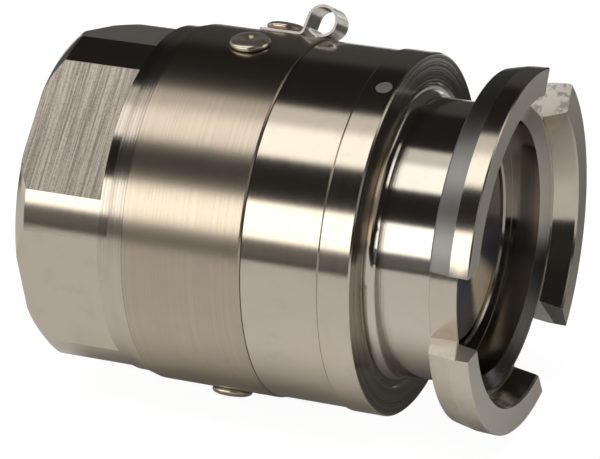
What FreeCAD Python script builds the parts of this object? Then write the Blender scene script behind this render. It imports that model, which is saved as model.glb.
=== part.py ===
import FreeCAD, Part
import math
import os

# Valve half of a dry break coupling, in millimetres.
# The flow axis is +X, from the pipe thread to the bayonet flange. The coupling lies on its side,
# +Z is up, and x = 0 is where the full pipe thread begins. Angles go round the axis from +Z
# towards -Y. Lengths along the axis that are called "from the end" start at the thread end face.

# Outside radii that follow the flange, which is the coupling's size
flange_r = 28.0
collar_r = flange_r
band_drop = 0.1                # band below the collar
end_drop = 0.7                 # threaded end below the band
body_drop = 0.25               # body below the band
lug_band_drop = 0.15           # plain band of a lug below the flange
lug_back_drop = 0.75           # edge of a lug's back below its band
band_r = collar_r - band_drop
end_r = band_r - end_drop
body_r = band_r - body_drop
lug_band_r = flange_r - lug_band_drop
lug_back_r = lug_band_r - lug_back_drop

# Threaded end
thread_minor_r = 12.06         # parallel 3/4 inch pipe thread, minor radius
thread_countersink = 1.2
thread_length = 15.0
relief_r = 12.9
relief_width = 1.6
end_chamfer_length = 2.2
end_chamfer_depth = 1.7
end_chamfer_crown = 0.06       # the chamfer is slightly domed
across_flats = 50.0
flat_length = 14.6             # from the end
flat_clock = 47.6
taper_start = 16.2             # from the end, the cone up to the band
taper_length = 2.6

# Band that carries the lock screws, and its socket for the spigot
joint_from_end = 38.0
band_bevel = 0.35
spigot_fit = 0.05
rim_length = 4.0
socket_floor = 22.0            # from the end
throat_r = 20.2

# Body, collar and neck
collar_start = 50.1            # from the end
collar_step_chamfer = 0.35
collar_end = 55.35             # from the end
collar_edge = 0.25
face_groove_inner_r = 22.9
face_groove_outer_r = 23.5
face_groove_depth = 0.3
neck_r = 21.4
neck_fillet = 1.5
flange_root = 65.4             # from the end

# Bayonet flange
lug_back_rise = 1.75           # axial length of the steep back of a lug
lug_band_length = 3.3
flange_end = 73.5              # from the end
flange_edge = 0.2
lug_mouth_r = 23.6
lug_mouth_chamfer = 0.3
lug_root_r = 22.5
ring_face_from_end = 69.8
ring_step_r = 21.7
slot_floor_r = 22.0
slot_width = 13.0
slot_count = 3
slot_clock = 91.0

# Front bore and valve seat
mouth_r = 19.5
mouth_chamfer = 1.2
ledge_from_end = 64.1
seat_r = 16.0
seat_edge = 0.3
seat_land = 1.5
retainer_over_seat = 1.0       # the seal's retainer is larger than the seat's bore
retainer_r = seat_r + retainer_over_seat
retainer_clearance = 1.6
bore_behind_seat_r = retainer_r + retainer_clearance
bore_behind_seat_length = 2.5
chamber_step = 1.9
chamber_r = bore_behind_seat_r + chamber_step
spigot_wall = 3.95
spigot_r = chamber_r + spigot_wall
spigot_lead = 0.6

# Static seal between the spigot and its socket
groove_start = 34.0            # from the end
groove_width = 3.0
groove_depth = 1.85
o_ring_width = 1.95
backup_width = 0.95
ring_side_gap = 0.05
o_ring_corner = 0.88
backup_corner = 0.1

# Radial lock screws
screw_circle = 28.8            # from the end
screw_angles = [4.0, 160.0, 184.0]
clip_screw_angle = -26.0
screw_r = 2.0
screw_hole_fit = 0.05
dog_r = 1.6
dog_reach = 1.9
head_r = 3.15
head_height = 1.35
head_rim = 0.55
head_edge_width = 0.25
head_edge_height = 0.35
head_shoulder_width = 0.7
head_shoulder_drop = 0.12
head_dimple_r = 1.7
head_dimple_lip = 0.5
head_dimple_edge = 0.05
head_dimple_depth = 0.25
dog_neck = 0.1                 # plain dog beyond the spigot
spot_face_r = 3.4

# Lanyard clip under one screw head
strip_thickness = 0.4
strip_width = 5.2
eye_end = 4.2                  # from the screw's axis to the end of the eye
eye_hole_r = 2.1
loop_r = 2.15                  # inside radius of the rolled loop
loop_offset = 6.5              # from the screw's axis to the loop's axis
loop_start_angle = 168.0
loop_end_angle = -143.0
bend_r = 0.8
clip_lift = 0.03

# Flush plug in the collar
plug_r = 1.25
plug_from_end = 53.3
plug_angle = 18.9
plug_depth = 2.4

# Valve guide, a three-armed spider
guide_hub_r = 7.6
guide_hub_length = 11.0
guide_rim_inset = 0.2
guide_rim_r = chamber_r - guide_rim_inset
guide_arm_width = 4.0
guide_arm_count = 3
guide_arm_clock = 31.0
guide_arm_length = 9.0
guide_arm_overlap = 0.5        # how far an arm runs into the hub and the rim
spring_shelf_r = 13.2
spring_shelf_thickness = 2.0
bush_r = 5.6
bush_flange_r = 7.2
bush_flange_thickness = 1.0
bush_length = 9.8
circlip_gap = 0.05
circlip_thickness = 0.8
circlip_groove_depth = 0.5
circlip_opening = 50.0
circlip_radial = 1.1

# Moving valve
stem_r = 4.0
stem_fit = 0.05
stem_tail = 0.0                # how far the stem stands out behind the guide
stem_tip_chamfer = 0.6
poppet_clearance = 0.4
poppet_r = seat_r - poppet_clearance
poppet_setback = 0.5           # poppet face behind the ledge
poppet_thickness = 1.8
poppet_edge = 0.3
poppet_lip = 2.6               # rim of the poppet over the seal
boss_r = poppet_r - poppet_lip
seal_thickness = 2.4
seal_fit = 0.03
seal_crown = 0.8               # length of the seal's sloping face
retainer_thickness = 2.5
retainer_bevel = 1.2
hub_r = 5.0
hub_inside_nut = 0.4           # hub end short of the nut's outer face
stud_r = 3.4
stud_past_seal = 0.8
washer_r = 9.0
washer_thickness = 0.8
nut_height = 3.6
nut_across_flats = 17.0
nut_chamfer = 0.6
thread_fit = 0.05

# Closing spring
spring_mean_r = 11.0
wire_r = 0.9
spring_turns = 6.0
spring_washer_thickness = 0.8
spring_washer_inner_r = 9.4
spring_washer_outer_r = 12.9
cup_inner_r = 9.4
cup_wall = 0.7
cup_height = 2.6
cup_fit = 0.25

cut_margin = 1.0               # how far a cutting shape runs past the metal

# Planes along the axis, worked out from the sizes above
end_face = -thread_countersink
joint_face = end_face + joint_from_end
socket_face = end_face + socket_floor
spigot_end = socket_face + rim_length
screw_plane = end_face + screw_circle
collar_face = end_face + collar_end
ring_face = end_face + ring_face_from_end
front_face = end_face + flange_end
ledge_face = end_face + ledge_from_end
seat_start = ledge_face - seat_land
poppet_face = ledge_face - poppet_setback
poppet_back = poppet_face - poppet_thickness
seal_back = poppet_back - seal_thickness
retainer_back = seal_back - retainer_thickness
washer_back = retainer_back - washer_thickness
nut_back = washer_back - nut_height
hub_end = nut_back + hub_inside_nut
stud_end = seal_back + stud_past_seal
guide_front = socket_face + guide_hub_length
spring_rear = guide_front + spring_washer_thickness
spring_front = retainer_back - cup_wall
socket_r = spigot_r + spigot_fit
AXIS = FreeCAD.Vector(1, 0, 0)
ORIGIN = FreeCAD.Vector(0, 0, 0)


def at(x, r, angle=0.0):
    """Point at a place along the axis, a radius, and an angle from +Z towards -Y."""
    a = math.radians(angle)
    return FreeCAD.Vector(x, -r * math.sin(a), r * math.cos(a))


def turned(outline):
    """Solid turned round the flow axis. A corner is (x, r); (x, r, x_mid, r_mid) ends an arc."""
    edges = []
    start = at(*outline[-1][:2])
    for corner in outline:
        end = at(*corner[:2])
        if len(corner) == 4:
            edges.append(Part.Arc(start, at(*corner[2:]), end).toShape())
        else:
            edges.append(Part.LineSegment(start, end).toShape())
        start = end
    return Part.Face(Part.Wire(edges)).revolve(ORIGIN, AXIS, 360)


def turned_on_screw(outline, x, angle):
    """Solid turned round a radial line, from corners (radius, height along the line)."""
    points = [FreeCAD.Vector(r, 0, h) for r, h in outline]
    face = Part.Face(Part.makePolygon(points + points[:1]))
    solid = face.revolve(ORIGIN, FreeCAD.Vector(0, 0, 1), 360)
    return placed(solid, x, angle)


def placed(solid, x, angle):
    """Carry a solid that stands on +Z to its place round the flow axis."""
    solid.rotate(ORIGIN, AXIS, angle)
    solid.translate(FreeCAD.Vector(x, 0, 0))
    return solid


def radial_hole(r, bottom, top, x, angle):
    """Round hole along a radial line, between two distances from the flow axis."""
    hole = Part.makeCylinder(r, top - bottom, FreeCAD.Vector(0, 0, bottom))
    return placed(hole, x, angle)


def arc_middle(centre_x, centre_r, radius, degrees):
    """Point on an arc, for an outline, at an angle from +X towards larger radius."""
    a = math.radians(degrees)
    return centre_x + radius * math.cos(a), centre_r + radius * math.sin(a)


def hexagon(width, x0, x1, clock):
    """Hexagonal bar along the flow axis."""
    corner = width / 2 / math.cos(math.pi / 6)
    points = [at(x0, corner, clock + 30 + 60 * k) for k in range(7)]
    return Part.Face(Part.makePolygon(points)).extrude(FreeCAD.Vector(x1 - x0, 0, 0))


def all_screw_angles():
    return screw_angles + [clip_screw_angle]


def thread_connection():
    """Threaded end: spanner flats, cone and the band that sleeves the body's spigot."""
    taper_face = end_face + taper_start
    relief_end = thread_length + relief_width
    crown_x = end_face + end_chamfer_length / 2 - end_chamfer_crown
    crown_r = end_r - end_chamfer_depth / 2 + end_chamfer_crown
    blank = turned([
        (end_face, thread_minor_r + thread_countersink),
        (end_face, end_r - end_chamfer_depth),
        (end_face + end_chamfer_length, end_r, crown_x, crown_r),
        (taper_face, end_r),
        (taper_face + taper_length, band_r),
        (joint_face - band_bevel, band_r),
        (joint_face, band_r - band_bevel),
        (joint_face, socket_r),
        (socket_face, socket_r),
        (socket_face, throat_r),
        (socket_face - (throat_r - relief_r) / 2, relief_r + (throat_r - relief_r) / 2),
        (relief_end, relief_r),
        (thread_length, relief_r),
        (thread_length, thread_minor_r),
        (0, thread_minor_r),
    ])
    flats_end = end_face + flat_length
    band_top = band_r + cut_margin
    collar = Part.makeCylinder(2 * end_r, flat_length, FreeCAD.Vector(end_face, 0, 0), AXIS)
    blank = blank.cut(collar.cut(hexagon(across_flats, end_face, flats_end, flat_clock)))
    for angle in all_screw_angles():
        hole_r = screw_r + screw_hole_fit
        blank = blank.cut(radial_hole(hole_r, socket_r - cut_margin, band_top, screw_plane, angle))
    for angle in screw_angles:
        blank = blank.cut(radial_hole(spot_face_r, seat_height(), band_top, screw_plane, angle))
    return blank.cut(clip_seat())


def seat_height():
    """Distance from the axis of the spot faces under the plain lock screws."""
    return math.sqrt(band_r ** 2 - spot_face_r ** 2)


def clip_seat_height():
    """Distance from the axis of the narrow flat that the clip's strip lies on."""
    return math.sqrt(band_r ** 2 - (strip_width / 2) ** 2)


def clip_seat():
    """Cut for the strip's flat seat, as wide as the strip, that runs out at the band's front edge."""
    length = joint_face - screw_plane + eye_end
    corner = FreeCAD.Vector(-eye_end, -strip_width / 2, clip_seat_height())
    return placed(Part.makeBox(length, strip_width, cut_margin, corner), screw_plane, clip_screw_angle)


def body_outside():
    """Outline corners of the body from the joint to the front edge of the lugs."""
    step = end_face + collar_start
    root = end_face + flange_root
    fillet_x = collar_face + neck_fillet
    fillet_r = neck_r + neck_fillet
    return [
        (joint_face, body_r),
        (step, body_r),
        (step + collar_step_chamfer, collar_r),
        (collar_face - collar_edge, collar_r),
        (collar_face, collar_r - collar_edge),
        (collar_face, face_groove_outer_r),
        (collar_face - face_groove_depth, face_groove_outer_r - face_groove_depth),
        (collar_face - face_groove_depth, fillet_r),
        (collar_face, fillet_r),
        (fillet_x, neck_r, *arc_middle(fillet_x, fillet_r, neck_fillet, 225)),
        (root, neck_r),
        (root + lug_back_rise, lug_back_r),
        (root + lug_back_rise + lug_band_length, lug_band_r),
        (front_face - flange_edge, flange_r),
        (front_face, flange_r - flange_edge),
    ]


def body_inside():
    """Outline corners of the body from the lugs' mouth through the seat to the spigot's end."""
    behind_seat = seat_start - (bore_behind_seat_r - seat_r)
    chamber_start = behind_seat - bore_behind_seat_length
    return [
        (front_face, lug_mouth_r + lug_mouth_chamfer),
        (front_face - lug_mouth_chamfer, lug_mouth_r),
        (ring_face, lug_root_r),
        (ring_face, ring_step_r),
        (ring_face - mouth_chamfer, mouth_r),
        (ledge_face, mouth_r),
        (ledge_face, seat_r + seat_edge),
        (ledge_face - seat_edge, seat_r),
        (seat_start, seat_r),
        (behind_seat, bore_behind_seat_r),
        (chamber_start, bore_behind_seat_r),
        (chamber_start - (chamber_r - bore_behind_seat_r), chamber_r),
        (spigot_end, chamber_r),
    ]


def spigot_outside():
    """Outline corners of the spigot, with the groove for the static seal."""
    groove = end_face + groove_start
    return [
        (spigot_end, spigot_r - spigot_lead),
        (spigot_end + spigot_lead, spigot_r),
        (groove, spigot_r),
        (groove, spigot_r - groove_depth),
        (groove + groove_width, spigot_r - groove_depth),
        (groove + groove_width, spigot_r),
        (joint_face, spigot_r),
    ]


def bayonet_slot(angle):
    """One slot through the lugs, with parallel walls and a floor that is round with the neck."""
    start = end_face + flange_root - cut_margin
    length = front_face + cut_margin - start
    slot = Part.makeBox(length, slot_width, flange_r + cut_margin, FreeCAD.Vector(0, -slot_width / 2, 0))
    core = Part.makeCylinder(slot_floor_r, length, FreeCAD.Vector(start, 0, 0), AXIS)
    return placed(slot, start, angle).cut(core)


def valve_body():
    """Body with spigot, collar, neck, valve seat and the three-lug bayonet flange."""
    body = turned(body_outside() + body_inside() + spigot_outside())
    for k in range(slot_count):
        body = body.cut(bayonet_slot(slot_clock + 360 / slot_count * k))
    for angle in all_screw_angles():
        tip = spigot_r - dog_reach - screw_hole_fit
        top = spigot_r + cut_margin
        body = body.cut(radial_hole(dog_r + screw_hole_fit, tip, top, screw_plane, angle))
    return body.cut(plug_hole())


def plug_hole():
    """Radial hole in the collar, which the plug fills."""
    bottom = collar_r - plug_depth
    return radial_hole(plug_r, bottom, collar_r + cut_margin, end_face + plug_from_end, plug_angle)


def seal_ring(start, width, corner):
    """Ring in the spigot's groove with rounded or square section corners."""
    inner = spigot_r - groove_depth + ring_side_gap
    outer = socket_r - spigot_fit / 2
    ring = turned([(start, inner), (start, outer), (start + width, outer), (start + width, inner)])
    return ring.makeFillet(corner, ring.Edges)


def body_o_ring():
    return seal_ring(end_face + groove_start + ring_side_gap, o_ring_width, o_ring_corner)


def body_backup_ring():
    start = end_face + groove_start + groove_width - backup_width
    return seal_ring(start - ring_side_gap / 2, backup_width, backup_corner)


def lock_screw(angle, seat):
    """Domed, dimpled lock screw whose plain dog enters the spigot."""
    dog_end = spigot_r - dog_reach
    shank = socket_r + dog_neck
    rim = seat + head_rim
    dome = seat + head_height
    return turned_on_screw([
        (0, dog_end),
        (dog_r, dog_end),
        (dog_r, shank),
        (screw_r, shank + screw_r - dog_r),
        (screw_r, seat),
        (head_r, seat),
        (head_r, rim),
        (head_r - head_edge_width, rim + head_edge_height),
        (head_r - head_shoulder_width, dome - head_shoulder_drop),
        (head_dimple_r + head_dimple_lip, dome),
        (head_dimple_r, dome - head_dimple_edge),
        (0, dome - head_dimple_depth),
    ], screw_plane, angle)


def lock_screws():
    return Part.makeCompound([lock_screw(angle, seat_height()) for angle in screw_angles])


def clip_screw():
    return lock_screw(clip_screw_angle, clip_seat_height() + clip_lift + strip_thickness)


def strip_outline(side):
    """Edges along one side of the clip's strip, seen along the tangent, from the eye to the end."""
    half = strip_thickness / 2
    bed = clip_seat_height() + clip_lift + half
    mean_r = loop_r + half
    loop_h = bed + mean_r
    a = math.radians(loop_start_angle)
    touch = FreeCAD.Vector(loop_offset + mean_r * math.cos(a), 0, loop_h + mean_r * math.sin(a))
    rise = FreeCAD.Vector(-math.sin(a), 0, math.cos(a)) * -1
    turn = math.atan2(rise.z, rise.x)
    drop = touch.z - bed
    run = (drop - bend_r * (1 - math.cos(turn))) / math.sin(turn)
    bend_end = touch - rise * run
    bend_x = bend_end.x - bend_r * math.sin(turn)
    bend = FreeCAD.Vector(bend_x, 0, bed + bend_r)
    offset = side * half

    def on_bend(angle):
        r = bend_r - offset
        return bend + FreeCAD.Vector(r * math.sin(angle), 0, -r * math.cos(angle))

    def on_loop(degrees):
        b = math.radians(degrees)
        r = mean_r + offset
        return FreeCAD.Vector(loop_offset + r * math.cos(b), 0, loop_h + r * math.sin(b))

    eye = FreeCAD.Vector(-eye_end, 0, bed + offset)
    middle = (loop_start_angle + loop_end_angle) / 2
    return [
        Part.LineSegment(eye, on_bend(0)).toShape(),
        Part.Arc(on_bend(0), on_bend(turn / 2), on_bend(turn)).toShape(),
        Part.LineSegment(on_bend(turn), on_loop(loop_start_angle)).toShape(),
        Part.Arc(on_loop(loop_start_angle), on_loop(middle), on_loop(loop_end_angle)).toShape(),
    ]


def lanyard_clip():
    """Spring strip: an eye under the screw head, then a rolled loop for the cap's lanyard."""
    upper = strip_outline(1)
    lower = strip_outline(-1)
    ends = []
    for k, side in ((0, 0), (-1, 1)):
        first = upper[k].Vertexes[side].Point
        second = lower[k].Vertexes[side].Point
        ends.append(Part.LineSegment(first, second).toShape())
    wire = Part.Wire(Part.__sortEdges__(upper + lower + ends))
    face = Part.Face(wire)
    face.translate(FreeCAD.Vector(0, -strip_width / 2, 0))
    strip = face.extrude(FreeCAD.Vector(0, strip_width, 0))
    bed = FreeCAD.Vector(0, 0, clip_seat_height() + clip_lift)
    rounding = Part.makeCylinder(eye_end, strip_thickness, bed)
    corner = bed - FreeCAD.Vector(eye_end, strip_width / 2, 0)
    square_end = Part.makeBox(eye_end, strip_width, strip_thickness, corner)
    strip = strip.cut(square_end.cut(rounding))
    strip = strip.cut(Part.makeCylinder(eye_hole_r, strip_thickness, bed))
    return placed(strip, screw_plane, clip_screw_angle)


def collar_plug():
    """Plug pressed flush into the collar."""
    blank = Part.makeCylinder(collar_r, collar_end, FreeCAD.Vector(end_face, 0, 0), AXIS)
    return plug_hole().common(blank)


def valve_guide():
    """Spider clamped between the socket's floor and the spigot, with a shelf for the spring."""
    rear = socket_face
    rim = turned([(rear, guide_rim_r), (rear, spigot_r), (spigot_end, spigot_r),
                  (spigot_end, guide_rim_r)])
    groove_end = rear + circlip_groove_offset() + circlip_thickness + circlip_gap
    hub = turned([
        (rear, bush_r),
        (rear, guide_hub_r),
        (guide_front - spring_shelf_thickness - (spring_shelf_r - guide_hub_r) / 2, guide_hub_r),
        (guide_front - spring_shelf_thickness, spring_shelf_r),
        (guide_front, spring_shelf_r),
        (guide_front, bush_r),
        (groove_end, bush_r),
        (groove_end, bush_r + circlip_groove_depth),
        (rear + circlip_groove_offset(), bush_r + circlip_groove_depth),
        (rear + circlip_groove_offset(), bush_r),
    ])
    guide = rim.fuse(hub)
    for k in range(guide_arm_count):
        guide = guide.fuse(guide_arm(guide_arm_clock + 360 / guide_arm_count * k))
    return guide.removeSplitter()


def guide_arm(angle):
    """Tapered web from the hub of the guide to its rim."""
    profile = [
        (socket_face, bush_r + circlip_groove_depth + guide_arm_overlap),
        (socket_face, guide_rim_r + guide_arm_overlap),
        (spigot_end, guide_rim_r + guide_arm_overlap),
        (spigot_end, guide_rim_r - guide_arm_overlap),
        (socket_face + guide_arm_length, guide_hub_r - guide_arm_overlap),
    ]
    points = [FreeCAD.Vector(x, -guide_arm_width / 2, r) for x, r in profile]
    side = Part.Face(Part.makePolygon(points + points[:1]))
    return placed(side.extrude(FreeCAD.Vector(0, guide_arm_width, 0)), 0, angle)


def circlip_groove_offset():
    """From the rear of the guide to its circlip groove, behind the bush."""
    return guide_hub_length - bush_length - circlip_thickness - circlip_gap


def guide_bush():
    """Flanged sliding bush for the stem."""
    bore = stem_r + stem_fit
    outer = bush_r - stem_fit / 2
    return turned([
        (guide_front - bush_length, bore),
        (guide_front - bush_length, outer),
        (guide_front, outer),
        (guide_front, bush_flange_r),
        (guide_front + bush_flange_thickness, bush_flange_r),
        (guide_front + bush_flange_thickness, bore),
    ])


def guide_retaining_ring():
    """Internal circlip behind the bush, open at one side."""
    start = socket_face + circlip_groove_offset() + circlip_gap / 2
    outer = bush_r + circlip_groove_depth - circlip_gap
    ring = turned([(start, outer - circlip_radial), (start, outer),
                   (start + circlip_thickness, outer), (start + circlip_thickness, outer - circlip_radial)])
    rear = start - cut_margin
    half = circlip_opening / 2
    corners = [at(rear, 0), at(rear, 2 * outer, -half), at(rear, 2 * outer, half)]
    wedge = Part.Face(Part.makePolygon(corners + corners[:1]))
    return ring.cut(wedge.extrude(AXIS * (circlip_thickness + 2 * cut_margin)))


def spring_washer():
    """Plain washer that the rear of the spring turns on."""
    return turned([(guide_front, spring_washer_inner_r), (guide_front, spring_washer_outer_r),
                   (spring_rear, spring_washer_outer_r), (spring_rear, spring_washer_inner_r)])


def valve_spring():
    """Closing spring of round wire, ground flat at both ends."""
    length = spring_front - spring_rear
    helix = Part.makeHelix(length / spring_turns, length, spring_mean_r)
    start = FreeCAD.Vector(spring_mean_r, 0, 0)
    section = Part.Wire(Part.makeCircle(wire_r, start, FreeCAD.Vector(0, 1, 0)))
    wire = Part.Wire(helix).makePipeShell([section], True, False)
    block = Part.makeCylinder(2 * spring_mean_r, length)
    spring = wire.common(block)
    spring.rotate(ORIGIN, FreeCAD.Vector(0, 1, 0), 90)
    spring.translate(FreeCAD.Vector(spring_rear, 0, 0))
    return spring


def spring_cup():
    """Pressed cup that centres the front of the spring on the retainer."""
    rim_r = spring_mean_r + wire_r + cup_fit
    return turned([
        (retainer_back, cup_inner_r),
        (retainer_back, rim_r + cup_wall),
        (retainer_back - cup_height, rim_r + cup_wall),
        (retainer_back - cup_height, rim_r),
        (spring_front, rim_r),
        (spring_front, cup_inner_r),
    ])


def valve_poppet():
    """Flat-faced poppet with a boss inside the seal and a hub for the stem and its nut."""
    return turned([
        (poppet_face, 0),
        (poppet_face, poppet_r - poppet_edge),
        (poppet_face - poppet_edge, poppet_r),
        (poppet_back, poppet_r),
        (poppet_back, boss_r),
        (seal_back, boss_r),
        (seal_back, hub_r),
        (hub_end, hub_r),
        (hub_end, stud_r + thread_fit),
        (stud_end, stud_r + thread_fit),
        (stud_end, 0),
    ])


def valve_stem():
    """Stem that slides in the guide, with a shoulder and a stud in the poppet's hub."""
    tail = socket_face - stem_tail
    shoulder = hub_end - thread_fit
    return turned([
        (tail, 0),
        (tail, stem_r - stem_tip_chamfer),
        (tail + stem_tip_chamfer, stem_r),
        (shoulder, stem_r),
        (shoulder, stud_r),
        (stud_end - thread_fit, stud_r),
        (stud_end - thread_fit, 0),
    ])


def poppet_seal():
    """Moulded seal ring whose sloping face meets the valve seat."""
    slope = seat_start + seat_r - seal_fit * math.sqrt(2)
    front_r = slope - poppet_back
    inner = boss_r + seal_fit
    return turned([
        (seal_back, inner),
        (seal_back, front_r + seal_crown),
        (poppet_back - seal_crown, front_r + seal_crown),
        (poppet_back, front_r),
        (poppet_back, inner),
    ])


def seal_retainer():
    """Disc that clamps the seal against the poppet."""
    return turned([
        (seal_back, hub_r + thread_fit),
        (seal_back, retainer_r),
        (retainer_back + retainer_bevel, retainer_r),
        (retainer_back, retainer_r - retainer_bevel),
        (retainer_back, hub_r + thread_fit),
    ])


def stem_washer():
    return turned([(retainer_back, hub_r + thread_fit), (retainer_back, washer_r),
                   (washer_back, washer_r), (washer_back, hub_r + thread_fit)])


def stem_nut():
    """Hexagon nut that holds the retainer on the poppet's hub."""
    corner = nut_across_flats / 2 / math.cos(math.pi / 6)
    blank = turned([
        (nut_back, hub_r + thread_fit),
        (nut_back, corner - nut_chamfer),
        (nut_back + nut_chamfer, corner),
        (washer_back, corner),
        (washer_back, hub_r + thread_fit),
    ])
    return blank.common(hexagon(nut_across_flats, nut_back, washer_back, 0))


pieces = [
    thread_connection, valve_body, body_o_ring, body_backup_ring, lock_screws, clip_screw,
    lanyard_clip, collar_plug, valve_guide, guide_bush, guide_retaining_ring, spring_washer,
    valve_spring, spring_cup, stem_nut, stem_washer, seal_retainer, poppet_seal, valve_poppet,
    valve_stem,
]

os.makedirs("parts", exist_ok=True)
for piece in pieces:
    shape = piece()
    shape.exportStep("parts/%s.step" % piece.__name__)
    volume = sum(solid.Volume for solid in shape.Solids)
    print(piece.__name__, len(shape.Solids), "solid(s)", round(volume, 2), "mm3", shape.isValid())
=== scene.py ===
import math

import bmesh
import bpy
from mathutils import Matrix, Vector


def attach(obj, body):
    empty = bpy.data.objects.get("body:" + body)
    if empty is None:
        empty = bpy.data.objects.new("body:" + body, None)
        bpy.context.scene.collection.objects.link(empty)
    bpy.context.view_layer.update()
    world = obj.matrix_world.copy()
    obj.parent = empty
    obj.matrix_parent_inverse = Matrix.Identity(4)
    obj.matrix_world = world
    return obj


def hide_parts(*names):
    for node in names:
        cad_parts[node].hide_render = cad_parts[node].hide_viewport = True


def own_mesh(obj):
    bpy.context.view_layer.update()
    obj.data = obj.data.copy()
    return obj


# Looks of the valve half of a dry break coupling. Sizes are in metres and angles in degrees.
# +X runs along the flow axis from the pipe thread to the bayonet flange, and +Z is up.
# Directions round the axis are measured from +Z towards -Y.

MM = 0.001

# Places on the part that the finishes follow
FLAT_DISTANCE = 25.0 * MM        # spanner flats from the axis
FLAT_END = 13.4 * MM             # where the flats stop, along the axis
FLAT_CLOCK = 47.6                # direction of one flat
CONE_START = 15.0 * MM
CONE_END = 17.6 * MM
JOINT_FACE = 36.8 * MM           # seam between the threaded end and the body
OUTSIDE_R = 27.0 * MM            # the band and the collar are wider than this
COLLAR_FACE = 54.15 * MM
LUG_ROOT = 64.2 * MM             # end of the neck
LUG_CONE_START = 65.95 * MM
LUG_CONE_END = 69.25 * MM
LUG_CONE_R = 26.6 * MM
RING_FACE = 68.6 * MM            # front of the ring inside the lugs
LUG_FACE_START = 71.6 * MM       # between the ring's face and the faces of the lugs
NECK_R = 21.4 * MM
FILLET_R = 23.0 * MM             # just outside the neck and its fillets
MOUTH_R = 19.5 * MM
MOUTH_CHAMFER_R = 21.9 * MM
LOW_WALL_Z = -5.0 * MM           # slot walls below this height are partly in shade
LOW_MOUTH_Z = -6.0 * MM
WALL_SHADE_START = 61.7 * MM     # on the axis; the shade's edge runs forward as it goes outward
WALL_SHADE_SLOPE = 0.31
FAN_DIRECTION = (0.574, -0.819)  # across the poppet face, in Y and Z
FAN_EDGE = 0.91                  # cosines of the angles at which the fan starts and is full
FAN_CORE = 0.995

# Widths over which one finish turns into the next
FINE_EDGE = 0.02 * MM
CRISP_EDGE = 0.05 * MM
SOFT_EDGE = 0.1 * MM

# Pipe thread, parallel 3/4 inch
THREAD_PITCH = 1.814 * MM
THREAD_CREST_R = 12.06 * MM
THREAD_ROOT_R = 13.22 * MM
THREAD_RUNOUT_R = 12.85 * MM     # root at the thread's inner end
THREAD_LIMIT_R = 13.3 * MM       # the plain bore and its lead-in lie inside this one
THREAD_MOUTH = -1.2 * MM
THREAD_END = 15.0 * MM
THREAD_FLAT = 0.12               # width of each flat crest and root, in pitches
THREAD_ROUNDING = 0.4            # how far the flanks curve, from 0 for straight
THREAD_ROWS = 290
THREAD_SIDES = 168
RIM_GAP = 0.02 * MM              # from the end face to the thread's first ring
MERGE_DISTANCE = 0.001 * MM

# Lock screws and clip screw: the CAD heads with a smooth dome
SCREW_PLANE = 27.6 * MM
SCREW_ANGLES = (4.0, 160.0, 184.0)
CLIP_SCREW_ANGLE = -26.0
SCREW_SEAT = 27.69 * MM
CLIP_SCREW_SEAT = 28.21 * MM
DOG_R = 1.6 * MM
DOG_END = 22.55 * MM
SHANK_R = 2.0 * MM
SHANK_START = 24.6 * MM
HEAD_R = 3.15 * MM
HEAD_HEIGHT = 1.35 * MM
HEAD_ROUND_R = 0.5 * MM
HEAD_ROUND_LIFT = 0.55 * MM      # from the seat to the middle of the rounded edge
HEAD_SEAT_R = 2.6 * MM
DIMPLE_R = 1.6 * MM
DIMPLE_DEPTH = 0.60 * MM
CURVE_STEPS = 10
SPIN_STEPS = 64

# Where the photographer stood, found from the turned edges
CAMERA_AZIMUTH = 22.45
CAMERA_ELEVATION = 21.9
CAMERA_DISTANCE = 523.4 * MM
CAMERA_SIDE = 1.69 * MM          # aim point to the left of the joint's centre
CAMERA_LIFT = 1.64 * MM          # aim point below the joint's centre
CAMERA_LENS = 203.73
CAMERA_SENSOR = 36.0
CAMERA_NEAR = 0.01
CAMERA_FAR = 20

# Soft boxes of the studio: two edges and their softness, as directions round the flow axis
TOP_BOX = (-6, 31.5, 4)
FRONT_BOX = (60.5, 84, 3)
LOW_STRIP = (84, 96, 3)
LOOP_STRIP = (-99, -94, 2)
BACK_WALL = (-125, -54, 12)
FLANGE_BACK_BOX = (-75, -20, 16)
FLANGE_FRONT_BOX = (10, 65, 16)
BACKDROP_EDGE = 104              # mirrored rays further round than this one see the white

# Table and fill light
FLOOR_CENTRE = (0.04, 0.08, -29.15 * MM)
FLOOR_HALF_WIDTH = 0.4
FLOOR_HALF_DEPTH = 0.32
TABLE_GLOW = 1.11
TABLE_GLOW_SHARE = 0.86
FILL_STRENGTH = 1.4
FILL_SPREAD = 50
FILL_TILT = 12
DARK_BAND_NEAR_EDGE = 0.035           # dark band on the table, in Y, and the paper across it, in X
DARK_BAND_FAR_EDGE = 0.165
PAPER_STRIP = (0.02, 0.06, 0.01)


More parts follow.
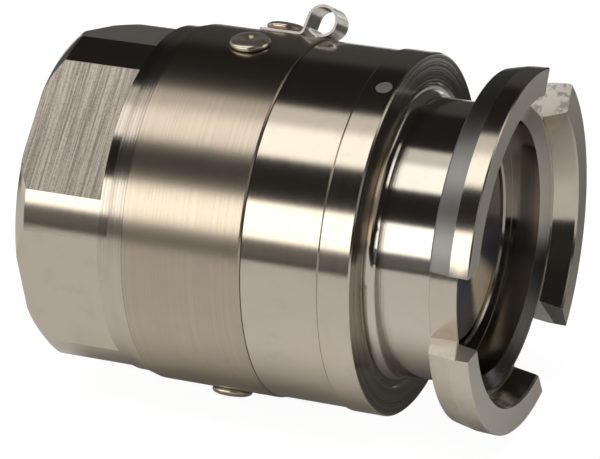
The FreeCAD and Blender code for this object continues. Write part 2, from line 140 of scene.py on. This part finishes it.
class Socket:
    """An output in a node tree. Arithmetic on it adds Math nodes."""

    def __init__(self, shader, output):
        self.shader = shader
        self.output = output

    def math(self, operation, *others):
        return self.shader.add("ShaderNodeMath", {"operation": operation}, [self, *others])

    def __add__(self, other):
        return self.math("ADD", other)

    def __sub__(self, other):
        return self.math("SUBTRACT", other)

    def __rsub__(self, other):
        return self.shader.add("ShaderNodeMath", {"operation": "SUBTRACT"}, [other, self])

    def __mul__(self, other):
        return self.math("MULTIPLY", other)

    def __truediv__(self, other):
        return self.math("DIVIDE", other)

    def __neg__(self):
        return self * -1.0

    __radd__ = __add__
    __rmul__ = __mul__

    def size(self):
        """The value without its sign."""
        return self.math("ABSOLUTE")

    def step(self, low, high, out_low=0.0, out_high=1.0):
        return self.shader.add(
            "ShaderNodeMapRange",
            {"interpolation_type": "SMOOTHSTEP"},
            [self, low, high, out_low, out_high],
        )

    def above(self, edge, soft):
        """0 below the edge and 1 above it, turning smoothly over a width."""
        return self.step(edge - soft / 2, edge + soft / 2)

    def below(self, edge, soft):
        return 1 - self.above(edge, soft)

    def between(self, low, high, soft):
        return self.above(low, soft) * self.below(high, soft)


class Shader:
    """Builds one node tree."""

    def __init__(self, tree):
        self.tree = tree
        tree.nodes.clear()

    def add(self, kind, settings=None, values=(), out=0):
        """Adds a node: its settings first, then its sockets by order or by name. Returns an output."""
        node = self.tree.nodes.new(kind)
        for key, value in (settings or {}).items():
            setattr(node, key, value)
        pairs = values.items() if isinstance(values, dict) else enumerate(values)
        for key, value in pairs:
            if isinstance(value, Socket):
                self.tree.links.new(value.output, node.inputs[key])
            elif value is not None:
                node.inputs[key].default_value = value
        return Socket(self, node.outputs[out])

    def split(self, vector):
        node = self.tree.nodes.new("ShaderNodeSeparateXYZ")
        self.tree.links.new(vector.output, node.inputs[0])
        return [Socket(self, output) for output in node.outputs]

    def vector(self, x, y, z):
        return self.add("ShaderNodeCombineXYZ", values=[x, y, z])

    def spot(self):
        """The place in Object coordinates."""
        return self.add("ShaderNodeTexCoord", out="Object")

    def place(self):
        """The place in Object coordinates, whole and as x, y and z, and the distance from the axis."""
        spot = self.spot()
        x, y, z = self.split(spot)
        return spot, x, y, z, (y * y + z * z).math("SQRT")

    def facing(self):
        """The surface's own direction as x, y and z, before any bump."""
        return self.split(self.add("ShaderNodeNewGeometry", out="True Normal"))

    def noise(self, where, scale, detail, rough, dimensions="3D"):
        return self.add(
            "ShaderNodeTexNoise",
            {"noise_dimensions": dimensions},
            {"Vector": where, "Scale": scale, "Detail": detail, "Roughness": rough},
        )

    def mix(self, factor, first, second):
        return self.add(
            "ShaderNodeMix",
            {"data_type": "RGBA"},
            {0: factor, 6: first, 7: second},
            out=2,
        )

    def layers(self, base, *coats):
        """A base colour under coats, each a pair of where it lies and its colour."""
        tint = base
        for where, coat in coats:
            tint = self.mix(where, tint, coat)
        return tint

    def rounded_edges(self, radius):
        return self.add("ShaderNodeBevel", {"samples": 4}, {"Radius": radius})

    def bump(self, height, distance, normal=None):
        values = {"Height": height, "Distance": distance, "Normal": normal}
        return self.add("ShaderNodeBump", None, values)

    def surface(self, tint, roughness, normal, metal=1.0):
        """Ends a material's tree with one surface, which is steel unless told otherwise."""
        values = {"Base Color": tint, "Metallic": metal, "Roughness": roughness, "Normal": normal}
        self.finish(self.add("ShaderNodeBsdfPrincipled", None, values))

    def finish(self, surface, target="ShaderNodeOutputMaterial"):
        end = self.tree.nodes.new(target)
        self.tree.links.new(surface.output, end.inputs["Surface"])


def grey(level):
    return (level, level, level, 1.0)


def colour(r, g, b):
    return (r, g, b, 1.0)


STEEL = colour(0.58, 0.515, 0.43)
WARM_STEEL = colour(0.48, 0.41, 0.325)
COOL_STEEL = colour(0.60, 0.585, 0.56)
DARK_STEEL = colour(0.28, 0.25, 0.215)
MILLED_DARK = colour(0.205, 0.185, 0.16)
SEAM_BLACK = grey(0.05)
LUG_BACK_SHADE = colour(0.16, 0.17, 0.17)
LUG_FACE_SATIN = colour(0.54, 0.51, 0.46)
SLOT_BRIGHT = colour(0.95, 0.90, 0.82)
SLOT_SHADE = colour(0.11, 0.10, 0.085)
RING_DARK = grey(0.10)
RING_LIGHT = colour(0.30, 0.265, 0.22)
MOUTH_HIGHLIGHT = colour(0.82, 0.76, 0.68)
MOUTH_SHADE = grey(0.10)
VALVE_BROWN = colour(0.42, 0.34, 0.25)
VALVE_BLUE = colour(0.10, 0.13, 0.24)
FAN_LIGHT = colour(0.97, 0.80, 0.60)
SCREW_TINT = colour(0.70, 0.63, 0.53)
STRIP_TINT = colour(0.80, 0.75, 0.70)
PLUG_TINT = colour(0.36, 0.345, 0.32)
WIRE_LIGHT = colour(0.50, 0.48, 0.45)
WIRE_DARK = colour(0.34, 0.32, 0.30)
RUBBER_BLACK = colour(0.018, 0.018, 0.019)
RUBBER_DUST = colour(0.07, 0.068, 0.065)
PLASTIC_PALE = colour(0.80, 0.79, 0.74)
PLASTIC_CLOUD = colour(0.70, 0.68, 0.62)
PAPER_LIGHT = grey(0.86)
PAPER_DARK = grey(0.82)
DARK_BAND_BLACK = grey(0.05)
WHITE = grey(1.0)
BOX_WHITE = colour(1.0, 0.99, 0.96)
BOX_WARM = colour(1.0, 0.98, 0.94)


def new_material(name):
    material = bpy.data.materials.new(name)
    material.use_nodes = True
    return material, Shader(material.node_tree)


def lathe_lines(s, x, r, spot, pitch):
    """Height of turning marks, rings round the flow axis that fade in and out along their way."""
    fine = s.noise(s.vector(x, r, 0.0), scale=1.0 / pitch, detail=3.0, rough=0.65, dimensions="2D")
    coarse = s.noise(s.vector(x, r, 0.5), scale=0.22 / pitch, detail=2.0, rough=0.6, dimensions="2D")
    fade = s.noise(spot, scale=90.0, detail=2.0, rough=0.5)
    return fine * (0.55 + fade * 0.9) + coarse * 0.8, coarse


def hex_distance(y, z):
    """Largest distance along the six flats' directions; it is the flats' own distance on a flat."""
    result = None
    for k in range(3):
        a = math.radians(FLAT_CLOCK + 60 * k)
        side = (y * -math.sin(a) + z * math.cos(a)).size()
        result = side if result is None else result.math("MAXIMUM", side)
    return result


def toward_flat(s):
    """How squarely the surface faces along the direction of the one rougher pair of flats."""
    _, ny, nz = s.facing()
    a = math.radians(FLAT_CLOCK)
    return (ny * -math.sin(a) + nz * math.cos(a)).size()


def end_steel():
    """Turned end with milled spanner flats, a coarser cone and a finely brushed band."""
    material, s = new_material("turned_end_steel")
    spot, x, y, z, r = s.place()

    # Where each finish lies
    on_flat = (hex_distance(y, z) - FLAT_DISTANCE).size().below(FINE_EDGE, FINE_EDGE)
    on_flat = on_flat * x.below(FLAT_END - FINE_EDGE, FINE_EDGE)
    on_flat = on_flat * r.above(FLAT_DISTANCE - 0.1 * MM, SOFT_EDGE)
    recut = on_flat * toward_flat(s).above(0.95, 0.02)
    on_cone = x.between(CONE_START, CONE_END, CRISP_EDGE) * (1 - on_flat)
    on_band = x.above(CONE_END, SOFT_EDGE) * r.above(OUTSIDE_R, SOFT_EDGE)
    # Painted shade on the shoulder: its darker tone, and how strongly its real turning marks show, are
    # full on the upper side and faint underneath
    shoulder_marks_and_shade = x.between(FLAT_END, CONE_END, CRISP_EDGE) * (1 - on_flat)
    shoulder_marks_and_shade = shoulder_marks_and_shade * ((z / r).above(0.15, 0.5) * 0.8 + 0.2)
    scribed = x.between(CONE_END - 0.04 * MM, CONE_END + 0.06 * MM, 0.04 * MM) * 0.5
    seam = x.above(JOINT_FACE - 0.10 * MM, 0.06 * MM) * 0.9

    lines, coarse = lathe_lines(s, x, r, spot, pitch=0.11 * MM)
    streaks = s.noise(s.vector(x, y * 0.02, z * 0.02), scale=2300.0, detail=4.0, rough=0.75)
    blotch = s.noise(spot, scale=260.0, detail=3.0, rough=0.55)
    speckle = s.noise(spot, scale=3200.0, detail=2.0, rough=0.6)
    worn = streaks.step(0.36, 0.66, 0.25, 1.0) + speckle.step(0.45, 0.75) * 0.35
    ring_marks = lines.step(0.75, 1.08) * (on_band * 0.16 + shoulder_marks_and_shade * 0.5)

    tint = s.layers(
        STEEL,
        (on_band, WARM_STEEL),
        ((recut * worn).math("MINIMUM", 1.0), MILLED_DARK),
        (blotch.above(0.62, 0.2) * 0.12, DARK_STEEL),
        (ring_marks + shoulder_marks_and_shade * 0.3, DARK_STEEL),
        (scribed + seam, SEAM_BLACK),
    )
    roughness = 0.10 + coarse * 0.05 + on_flat * 0.20 + on_cone * 0.05 + on_band * 0.09
    height = lines * (1 - on_flat * 0.5) + streaks * (on_flat + recut * 6.0) + coarse * on_cone * 3.0
    # The cone shades as a nearly straight wall, which leans a little towards the pipe end
    shallow = s.vector(-0.06, y / r, z / r)
    normal = s.bump(height, 0.0058 * MM, s.mix(on_cone, s.rounded_edges(0.14 * MM), shallow))
    s.surface(tint, roughness, normal)
    return material


def body_steel():
    """Turned body: satin collar, bright neck, and a flange with milled lugs and slots."""
    material, s = new_material("turned_body_steel")
    spot, x, y, z, r = s.place()
    nx, ny, nz = s.facing()
    forward = nx.above(0.9, 0.05)
    outward = (ny * y + nz * z) / r

    # Where each finish lies
    neck = x.between(COLLAR_FACE + 0.3 * MM, LUG_ROOT, CRISP_EDGE) * r.below(FILLET_R, SOFT_EDGE)
    seam = x.below(JOINT_FACE + 0.07 * MM, 0.06 * MM) * r.above(OUTSIDE_R, SOFT_EDGE)
    collar_face = forward * x.below(COLLAR_FACE + 0.5 * MM, SOFT_EDGE)
    on_lugs = x.above(LUG_ROOT + 0.3 * MM, CRISP_EDGE) * r.above(NECK_R + 0.3 * MM, SOFT_EDGE)
    lug_face = forward * x.above(LUG_FACE_START, SOFT_EDGE)
    lug_back = on_lugs * nx.below(-0.2, 0.1) * x.below(LUG_CONE_START + 0.2 * MM, SOFT_EDGE)
    lug_cone = on_lugs * x.between(LUG_CONE_START, LUG_CONE_END, 0.04 * MM)
    lug_cone = lug_cone * r.above(LUG_CONE_R, 0.2 * MM)
    # Painted shade on the outer faces of the lugs' backs and cone, left off their lower side
    lug_shade_side = outward.above(0.8, 0.1) * (z / r).above(-0.15, 0.25)
    slot_wall = on_lugs * outward.size().below(0.6, 0.1) * nx.size().below(0.3, 0.1)
    low_wall = slot_wall * z.below(LOW_WALL_Z, 1.0 * MM)
    shaded = (x - r * WALL_SHADE_SLOPE).above(WALL_SHADE_START, 0.4 * MM)
    # Painted shade deep in the bore, beyond the collar face
    bore = r.below(MOUTH_R + 0.1 * MM, SOFT_EDGE) * x.above(COLLAR_FACE, 1.0 * MM)
    mouth = nx.above(0.5, 0.1) * r.below(MOUTH_CHAMFER_R, SOFT_EDGE)
    mouth = mouth * x.between(LUG_CONE_START, RING_FACE + 0.3 * MM, SOFT_EDGE)
    # Painted light on the mouth's chamfer: shade on its lower part and a highlight on the rest
    low_mouth = mouth * z.below(LOW_MOUTH_Z, 8.0 * MM)
    mouth_glint = mouth - low_mouth

    lines, coarse = lathe_lines(s, x, r, spot, pitch=0.10 * MM)
    rings = s.noise(s.vector(r, 0.0, 0.0), scale=2600.0, detail=3.0, rough=0.6)
    blotch = s.noise(spot, scale=420.0, detail=4.0, rough=0.6)
    grain = s.noise(spot, scale=7000.0, detail=3.0, rough=0.65)
    chips = s.noise(spot, scale=600.0, detail=4.0, rough=0.7)

    tint = s.layers(
        STEEL,
        (blotch.above(0.60, 0.25) * 0.12, DARK_STEEL),
        (neck * 0.3, COOL_STEEL),
        (seam * 0.9, SEAM_BLACK),
        ((lug_back + lug_cone) * 0.85 * lug_shade_side, LUG_BACK_SHADE),
        (bore * 0.6, DARK_STEEL),
        (lug_face * 0.8, LUG_FACE_SATIN),
        (slot_wall * 0.9, SLOT_BRIGHT),
        (low_wall * shaded * 0.85, SLOT_SHADE),
        (collar_face * 0.8, s.mix(rings.step(0.40, 0.60), RING_DARK, RING_LIGHT)),
        (low_mouth * 0.85, MOUTH_SHADE),
        (mouth_glint * 0.7, MOUTH_HIGHLIGHT),
        ((slot_wall - low_wall * 0.8) * chips.above(0.56, 0.10) * 0.6, DARK_STEEL),
    )
    roughness = 0.10 + coarse * 0.05 + lug_face * 0.36 + slot_wall * 0.28
    roughness = roughness + (lug_back + lug_cone) * 0.2 - neck * 0.02
    height = lines * (1 - lug_face * 0.6) + grain * (lug_face + slot_wall) * 3.0
    height = height + rings * collar_face * 7.0 + chips * slot_wall * 2.0
    normal = s.bump(height, 0.0050 * MM, s.rounded_edges(0.12 * MM))
    metal = 1 - lug_face * 0.5 - slot_wall * 0.5 - mouth_glint * 0.35 - collar_face * 0.15
    s.surface(tint, roughness, normal, metal)
    return material


def valve_steel():
    """Faced steel with fine rings, blotched blue and brown at random, and a painted highlight: a fan
    of light across the poppet face.
    """
    material, s = new_material("faced_valve_steel")
    spot, x, y, z, r = s.place()
    lines, coarse = lathe_lines(s, x, r, spot, pitch=0.09 * MM)
    sweep = s.noise(s.vector(y / r, z / r, 0.0), scale=3.0, detail=3.0, rough=0.6)
    # Blue and brown in random blotches over the faced steel
    blue_brown_blotch = s.noise(spot, scale=90.0, detail=1.5, rough=0.4)
    across_y, across_z = FAN_DIRECTION
    # Painted highlight: a fan of light across the poppet face, brightest along one fixed direction
    fan = ((y * across_y + z * across_z) / r).size().step(FAN_EDGE, FAN_CORE)
    fan = (fan * (0.5 + sweep)).math("MINIMUM", 1.0)
    tint = s.mix(blue_brown_blotch.above(0.52, 0.45) * 0.85, VALVE_BROWN, VALVE_BLUE)
    tint = s.mix(fan, tint, FAN_LIGHT)
    roughness = 0.26 + coarse * 0.10 + fan * 0.12
    normal = s.bump(lines, 0.03 * MM, s.rounded_edges(0.10 * MM))
    s.surface(tint, roughness, normal, metal=1 - fan * 0.35)
    return material


def plain_steel(name, tint, base_roughness, metal):
    """Smooth steel with a few fine scratches, for screws, clip, plug, nut, cup and washers."""
    material, s = new_material(name)
    spot = s.spot()
    x, y, z = s.split(spot)
    smear = s.noise(spot, scale=700.0, detail=3.0, rough=0.55)
    scratch = s.noise(s.vector(x, y * 6.0, z), scale=3200.0, detail=2.0, rough=0.6)
    shade = s.mix(smear.above(0.55, 0.3) * 0.15, tint, DARK_STEEL)
    normal = s.bump(scratch, 0.0010 * MM, s.rounded_edges(0.08 * MM))
    s.surface(shade, base_roughness + smear * 0.08, normal, metal - smear * 0.05)
    return material


def spring_wire():
    """Drawn wire, a little duller in patches."""
    material, s = new_material("drawn_spring_wire")
    spot = s.spot()
    smear = s.noise(spot, scale=900.0, detail=3.0, rough=0.6)
    shade = s.mix(smear, WIRE_LIGHT, WIRE_DARK)
    normal = s.bump(s.noise(spot, scale=6000.0, detail=2.0, rough=0.5), 0.002 * MM)
    s.surface(shade, 0.24 + smear * 0.1, normal)
    return material


def seal_rubber():
    """Black moulded rubber, slightly dusty."""
    material, s = new_material("moulded_seal_rubber")
    spot = s.spot()
    dust = s.noise(spot, scale=800.0, detail=4.0, rough=0.6)
    shade = s.mix(dust.above(0.6, 0.3) * 0.4, RUBBER_BLACK, RUBBER_DUST)
    normal = s.bump(s.noise(spot, scale=7000.0, detail=3.0, rough=0.6), 0.004 * MM)
    s.surface(shade, 0.45 + dust * 0.2, normal, metal=0.0)
    return material


def ring_plastic():
    """Off-white machined fluoropolymer with faint turning marks."""
    material, s = new_material("turned_ring_plastic")
    spot, x, _, _, r = s.place()
    lines, coarse = lathe_lines(s, x, r, spot, pitch=0.15 * MM)
    cloud = s.noise(spot, scale=300.0, detail=3.0, rough=0.5)
    shade = s.mix(cloud * 0.5, PLASTIC_PALE, PLASTIC_CLOUD)
    normal = s.bump(lines, 0.004 * MM)
    s.surface(shade, 0.42 + coarse * 0.1, normal, metal=0.0)
    return material


def axis_distance(vertex):
    return math.hypot(vertex.co.y, vertex.co.z)


def finished_piece(name, bm):
    mesh = bpy.data.meshes.new(name)
    for face in bm.faces:
        face.smooth = True
    bm.to_mesh(mesh)
    bm.free()
    piece = bpy.data.objects.new(name, mesh)
    bpy.context.scene.collection.objects.link(piece)
    return piece


def finish_like(piece, node):
    """Gives a new piece the finish of the CAD node that it stands in for."""
    piece.data.materials.clear()
    piece.data.materials.append(node.material_slots[0].material)


def thread_wall_r(x, turn):
    """Distance from the axis of the thread's wall, by place along the axis and part of a turn."""
    crest = max(THREAD_CREST_R, THREAD_CREST_R - x)
    runout = min(max((x - THREAD_END) / THREAD_PITCH + 1, 0), 1)
    root = max(crest, THREAD_ROOT_R + (THREAD_RUNOUT_R - THREAD_ROOT_R) * runout)
    phase = (x / THREAD_PITCH - turn) % 1
    rise = (abs(2 * phase - 1) - THREAD_FLAT) / (1 - 2 * THREAD_FLAT)
    rise = min(max(rise, 0), 1)
    curved = rise * rise * (3 - 2 * rise)
    rise = rise + (curved - rise) * THREAD_ROUNDING
    return root + (crest - root) * rise


def thread_wall():
    """The pipe thread as a mesh: a grid rolled into a tube whose wall follows the helix."""
    bm = bmesh.new()
    bmesh.ops.create_grid(bm, x_segments=THREAD_ROWS, y_segments=THREAD_SIDES, size=0.5)
    start = THREAD_MOUTH + RIM_GAP
    for vertex in bm.verts:
        x = start + (vertex.co.x + 0.5) * (THREAD_END - start)
        turn = vertex.co.y + 0.5
        r = thread_wall_r(x, turn)
        a = 2 * math.pi * turn
        vertex.co = (x, r * math.cos(a), r * math.sin(a))
    bmesh.ops.remove_doubles(bm, verts=bm.verts, dist=MERGE_DISTANCE)
    bmesh.ops.recalc_face_normals(bm, faces=bm.faces)
    first = next(iter(bm.faces))
    centre = first.calc_center_median()
    if first.normal.y * centre.y + first.normal.z * centre.z > 0:
        bmesh.ops.reverse_faces(bm, faces=bm.faces)
    mesh = bpy.data.meshes.new("thread_wall")
    bm.to_mesh(mesh)
    bm.free()
    return mesh


def close_rim(bm, place):
    """Joins the thread's wall to the threaded end all round, at a place along the axis."""
    def at_rim(vertex):
        return abs(vertex.co.x - place) < 1.5 * RIM_GAP and axis_distance(vertex) < THREAD_LIMIT_R

    near = [vertex for vertex in bm.verts if at_rim(vertex)]
    bmesh.ops.remove_doubles(bm, verts=near, dist=MERGE_DISTANCE)
    rims = [edge for edge in bm.edges if edge.is_boundary and all(at_rim(v) for v in edge.verts)]
    for edge in rims:
        edge.smooth = False
    bmesh.ops.bridge_loops(bm, edges=rims)


def threaded_end(node):
    """A copy of the threaded end with real threads in place of its plain bore."""
    bm = bmesh.new()
    bm.from_mesh(node.data)
    plain = [
        face for face in bm.faces
        if face.calc_center_median().x < THREAD_END + 0.01 * MM
        and max(axis_distance(vertex) for vertex in face.verts) < THREAD_LIMIT_R
    ]
    bmesh.ops.delete(bm, geom=plain, context="FACES")
    bm.from_mesh(thread_wall())
    close_rim(bm, THREAD_MOUTH)
    close_rim(bm, THREAD_END)
    return finished_piece("threaded_end", bm)


def cut_threads(node):
    end = threaded_end(node)
    finish_like(end, node)
    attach(end, "housing")
    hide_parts("thread_connection")


def screw_outline(seat):
    """Radius and height from the flow axis along one side of a screw, from its dog to its dimple."""
    outline = [(0, DOG_END), (DOG_R, DOG_END), (DOG_R, SHANK_START)]
    outline += [(SHANK_R, SHANK_START + SHANK_R - DOG_R), (SHANK_R, seat), (HEAD_SEAT_R, seat)]
    for degrees in range(-60, 61, 15):
        a = math.radians(degrees)
        r = HEAD_R - HEAD_ROUND_R * (1 - math.cos(a))
        outline.append((r, seat + HEAD_ROUND_LIFT + HEAD_ROUND_R * math.sin(a)))
    dome_edge, dome_edge_height = outline[-1]
    top = seat + HEAD_HEIGHT
    for k in reversed(range(CURVE_STEPS)):
        part = k / CURVE_STEPS
        r = DIMPLE_R + (dome_edge - DIMPLE_R) * part
        outline.append((r, top - (top - dome_edge_height) * part * part))
    for k in reversed(range(CURVE_STEPS)):
        part = k / CURVE_STEPS
        dip = DIMPLE_DEPTH * (0.5 + 0.5 * math.cos(math.pi * part))
        outline.append((DIMPLE_R * part, top - dip))
    return outline


def add_screw(bm, angle, seat):
    """Spins one screw about its own axis, which points outward at an angle round the flow axis."""
    turn = Matrix.Translation((SCREW_PLANE, 0, 0)) @ Matrix.Rotation(math.radians(angle), 4, "X")
    outline = [bm.verts.new((r, 0, height)) for r, height in screw_outline(seat)]
    edges = [bm.edges.new(pair) for pair in zip(outline, outline[1:])]
    bmesh.ops.spin(
        bm, geom=outline + edges, cent=(0, 0, 0), axis=(0, 0, 1),
        dvec=(0, 0, 0), angle=2 * math.pi, steps=SPIN_STEPS, use_merge=True,
    )
    fresh = [vertex for vertex in bm.verts if not vertex.tag]
    bmesh.ops.transform(bm, matrix=turn, verts=fresh)
    for vertex in fresh:
        vertex.tag = True


def fit_screws(nodes):
    """Screws with smooth domed heads in place of the plain ones."""
    heads = (
        ("domed_lock_screws", "lock_screws", SCREW_ANGLES, SCREW_SEAT),
        ("domed_clip_screw", "clip_screw", (CLIP_SCREW_ANGLE,), CLIP_SCREW_SEAT),
    )
    for name, node, angles, seat in heads:
        bm = bmesh.new()
        for angle in angles:
            add_screw(bm, angle, seat)
        bmesh.ops.remove_doubles(bm, verts=bm.verts, dist=MERGE_DISTANCE)
        bmesh.ops.recalc_face_normals(bm, faces=bm.faces)
        piece = finished_piece(name, bm)
        finish_like(piece, nodes[node])
        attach(piece, "housing")
        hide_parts(node)


def fit_spring(node):
    """A copy of the spring, on a mesh of its own."""
    bm = bmesh.new()
    bm.from_mesh(node.data)
    spring = finished_piece("closing_spring", bm)
    finish_like(spring, node)
    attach(spring, "housing")
    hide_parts("valve_spring")
    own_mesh(spring)


def set_finishes(nodes):
    """Gives each CAD node its finish."""
    screw = plain_steel("polished_screw_steel", SCREW_TINT, base_roughness=0.13, metal=0.93)
    strip = plain_steel("cold_rolled_strip", STRIP_TINT, base_roughness=0.18, metal=0.75)
    plug = plain_steel("ground_plug_steel", PLUG_TINT, base_roughness=0.40, metal=0.8)
    faced = valve_steel()
    finishes = {
        "thread_connection": end_steel(),
        "valve_body": body_steel(),
        "body_o_ring": seal_rubber(),
        "poppet_seal": seal_rubber(),
        "body_backup_ring": ring_plastic(),
        "guide_bush": ring_plastic(),
        "lanyard_clip": strip,
        "spring_cup": strip,
        "collar_plug": plug,
        "valve_spring": spring_wire(),
        "guide_retaining_ring": spring_wire(),
    }
    for name in ("lock_screws", "clip_screw", "spring_washer", "stem_nut", "stem_washer"):
        finishes[name] = screw
    for name in ("valve_guide", "seal_retainer", "valve_poppet", "valve_stem"):
        finishes[name] = faced
    for name, material in finishes.items():
        for place in nodes[name].material_slots:
            place.material = material


def fit_finer_pieces(nodes):
    """Puts the threaded end, the screws and the spring in place of their plain CAD nodes."""
    cut_threads(nodes["thread_connection"])
    fit_screws(nodes)
    fit_spring(nodes["valve_spring"])


def make_camera():
    a = math.radians(CAMERA_AZIMUTH)
    e = math.radians(CAMERA_ELEVATION)
    forward = Vector((-math.sin(a) * math.cos(e), math.cos(a) * math.cos(e), -math.sin(e)))
    right = Vector((math.cos(a), math.sin(a), 0))
    up = right.cross(forward)
    data = bpy.data.cameras.new("camera")
    data.lens = CAMERA_LENS
    data.sensor_width = CAMERA_SENSOR
    data.clip_start = CAMERA_NEAR
    data.clip_end = CAMERA_FAR
    camera = bpy.data.objects.new("camera", data)
    aim = Vector((JOINT_FACE, 0, 0)) - right * CAMERA_SIDE - up * CAMERA_LIFT
    camera.location = aim - forward * CAMERA_DISTANCE
    camera.rotation_mode = "QUATERNION"
    camera.rotation_quaternion = forward.to_track_quat("-Z", "Y")
    bpy.context.scene.collection.objects.link(camera)
    bpy.context.scene.camera = camera


def pale_table():
    """White to the camera, and to the coupling a pale table with a dark band behind it."""
    material, s = new_material("pale_table")
    spot = s.spot()
    x, y, _ = s.split(spot)
    seen = s.add("ShaderNodeLightPath", out="Is Camera Ray")
    mottle = s.noise(spot, scale=30.0, detail=3.0, rough=0.5)
    behind = y.above(DARK_BAND_NEAR_EDGE, 0.05) * y.below(DARK_BAND_FAR_EDGE, 0.02)
    behind = behind * (1 - x.between(*PAPER_STRIP))
    paper = s.mix(mottle * 0.2, PAPER_LIGHT, PAPER_DARK)
    table_off_camera = s.mix(behind, paper, DARK_BAND_BLACK)
    table = s.add("ShaderNodeBsdfDiffuse", None, {"Color": s.mix(seen, table_off_camera, paper)})
    glow = s.add("ShaderNodeEmission", None, {"Color": WHITE, "Strength": TABLE_GLOW})
    s.finish(s.add("ShaderNodeMixShader", None, [seen * TABLE_GLOW_SHARE, table, glow]))
    return material


def make_floor():
    """The table under the coupling, which keeps its soft shadow."""
    mesh = bpy.data.meshes.new("floor")
    bm = bmesh.new()
    size = Matrix.Diagonal((FLOOR_HALF_WIDTH, FLOOR_HALF_DEPTH, 1.0, 1.0))
    place = Matrix.Translation(FLOOR_CENTRE) @ size
    bmesh.ops.create_grid(bm, x_segments=1, y_segments=1, size=1.0, matrix=place)
    bm.to_mesh(mesh)
    bm.free()
    floor = bpy.data.objects.new("floor", mesh)
    bpy.context.scene.collection.objects.link(floor)
    mesh.materials.append(pale_table())


def make_fill_lamp():
    """Broad light from above and a little in front, for the table and whatever isn't metal."""
    data = bpy.data.lights.new("overhead_fill", "SUN")
    data.energy = FILL_STRENGTH
    data.angle = math.radians(FILL_SPREAD)
    lamp = bpy.data.objects.new("overhead_fill", data)
    lamp.rotation_euler = (math.radians(FILL_TILT), 0, 0)
    lamp.visible_glossy = False
    bpy.context.scene.collection.objects.link(lamp)


def studio_level(x, around):
    """The room's brightness by direction: its x part, and its angle round the flow axis.

    Returned with it is the top box, whose light is the whitest.
    """
    top_box = around.between(*TOP_BOX) * (0.9 + around.above(9, 8) * 0.9)
    boxes = top_box + around.between(*FRONT_BOX) * 2.4 + around.between(*LOW_STRIP) * 0.13
    boxes = boxes * x.above(-0.88, 0.16) * x.below(0.10, 0.30)
    pipe_side = x.below(-0.80, 0.20) * around.size().below(95, 10) * 0.30
    flange_side = around.between(*FLANGE_BACK_BOX) * 1.1 + around.between(*FLANGE_FRONT_BOX) * 0.3
    flange_side = flange_side * x.above(0.68, 0.22)
    loop_strip = around.between(*LOOP_STRIP) * x.between(-0.12, 0.20, 0.06) * 1.3
    wall = around.between(*BACK_WALL) * 0.055
    return 0.02 + wall + boxes + pipe_side + flange_side + loop_strip, top_box


def make_world():
    """Studio: long soft boxes in a dark room, over the table. The camera sees white."""
    world = bpy.data.worlds.new("studio")
    bpy.context.scene.world = world
    world.use_nodes = True
    s = Shader(world.node_tree)
    x, y, z = s.split(s.add("ShaderNodeTexCoord", out="Generated"))
    around = (-y).math("ARCTAN2", z) * (180 / math.pi)
    paths = ("Is Camera Ray", "Is Glossy Ray", "Is Transmission Ray")
    seen, mirrored, through = [s.add("ShaderNodeLightPath", out=path) for path in paths]
    level, top_box = studio_level(x, around)
    backdrop = around.size().above(BACKDROP_EDGE, 6)
    shown = seen.math("MAXIMUM", (mirrored + through) * backdrop)
    warm = s.mix(top_box.below(1.2, 0.8), BOX_WHITE, BOX_WARM)
    tone = s.mix(shown, warm, WHITE)
    strength = level * (1 - shown) + shown
    s.finish(s.add("ShaderNodeBackground", None, [tone, strength]), "ShaderNodeOutputWorld")


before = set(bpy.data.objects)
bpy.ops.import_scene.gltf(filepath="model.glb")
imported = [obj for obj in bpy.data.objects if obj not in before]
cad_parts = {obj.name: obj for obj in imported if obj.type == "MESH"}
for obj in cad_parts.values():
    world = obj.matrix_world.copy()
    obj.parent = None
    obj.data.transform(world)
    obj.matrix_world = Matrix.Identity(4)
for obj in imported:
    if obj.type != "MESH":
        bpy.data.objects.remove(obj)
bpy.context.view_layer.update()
bpy.context.scene.view_settings.view_transform = "Standard"
make_camera()
make_floor()
make_fill_lamp()
make_world()
set_finishes(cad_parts)
fit_finer_pieces(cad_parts)
